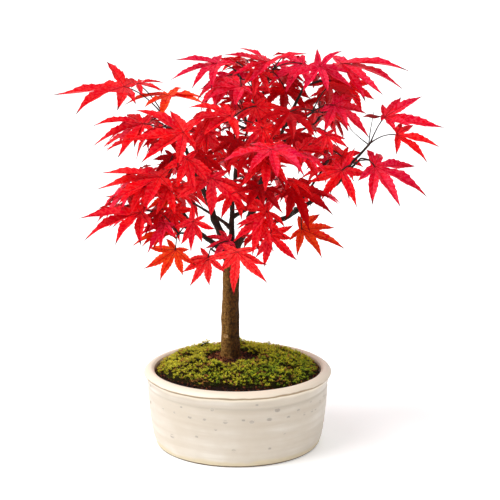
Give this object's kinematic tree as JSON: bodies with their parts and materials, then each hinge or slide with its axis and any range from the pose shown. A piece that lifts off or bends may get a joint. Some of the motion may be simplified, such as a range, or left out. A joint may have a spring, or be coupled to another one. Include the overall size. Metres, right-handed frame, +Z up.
{
  "type": "potted japanese maple bonsai",
  "caption": "Small bonsai maple in red autumn leaf, its open layered crown on a slim upright trunk, standing in a round cream glazed pot of dark soil under a mossy mound.",
  "frame": {"origin": "middle of the pot's flat underside", "axes": "+Z up; -Y is the front, the side that the picture shows; +X is to the right as seen from the front"},
  "size_m": [0.3552, 0.267, 0.373],
  "materials": {
    "glaze": "satin cream glaze",
    "soil": "matte",
    "moss": "matte",
    "bark": "rough",
    "leaf": "soft sheen"
  },
  "bodies": {
    "root": {"pot": "glaze", "soil": "soil", "moss": "moss", "trunk": "bark", "bough_left_main": "bark", "bough_right_main": "bark", "bough_left_low": "bark", "bough_back_main": "bark", "bough_left_mid": "bark", "bough_low_left": "bark", "bough_low_front": "bark", "bough_front_left": "bark", "bough_left_high": "bark", "bough_back_left_high": "bark", "bough_low_right": "bark", "bough_right_long": "bark", "bough_right_low": "bark", "bough_right_out": "bark", "bough_right_back": "bark", "bough_front": "bark", "bough_front_low": "bark", "bough_right_inner": "bark", "bough_right_high": "bark", "bough_back_right_high": "bark", "bough_centre_main": "bark", "bough_top": "bark", "bough_left_inner": "bark", "bough_back_top": "bark", "bough_back_left_low": "bark", "bough_back_right_low": "bark", "bough_back_high": "bark", "spray_far_left": "leaf", "spray_left_high": "leaf", "spray_left_mid": "leaf", "spray_left_low": "leaf", "spray_low_left": "leaf", "spray_low_front": "leaf", "spray_low_centre": "leaf", "spray_low_right": "leaf", "spray_right_low": "leaf", "spray_right_out": "leaf", "spray_right_tip": "leaf", "spray_right_top": "leaf", "spray_top": "leaf", "spray_top_left": "leaf", "spray_left_inner": "leaf", "spray_right_high": "leaf", "spray_right_inner": "leaf", "spray_front": "leaf", "spray_front_low": "leaf", "spray_front_left": "leaf", "spray_right_back": "leaf", "spray_back_right_high": "leaf", "spray_back_right_low": "leaf", "spray_back": "leaf", "spray_back_high": "leaf", "spray_back_top": "leaf", "spray_back_left_low": "leaf", "spray_back_left_high": "leaf"}
  },
  "joints": []
}
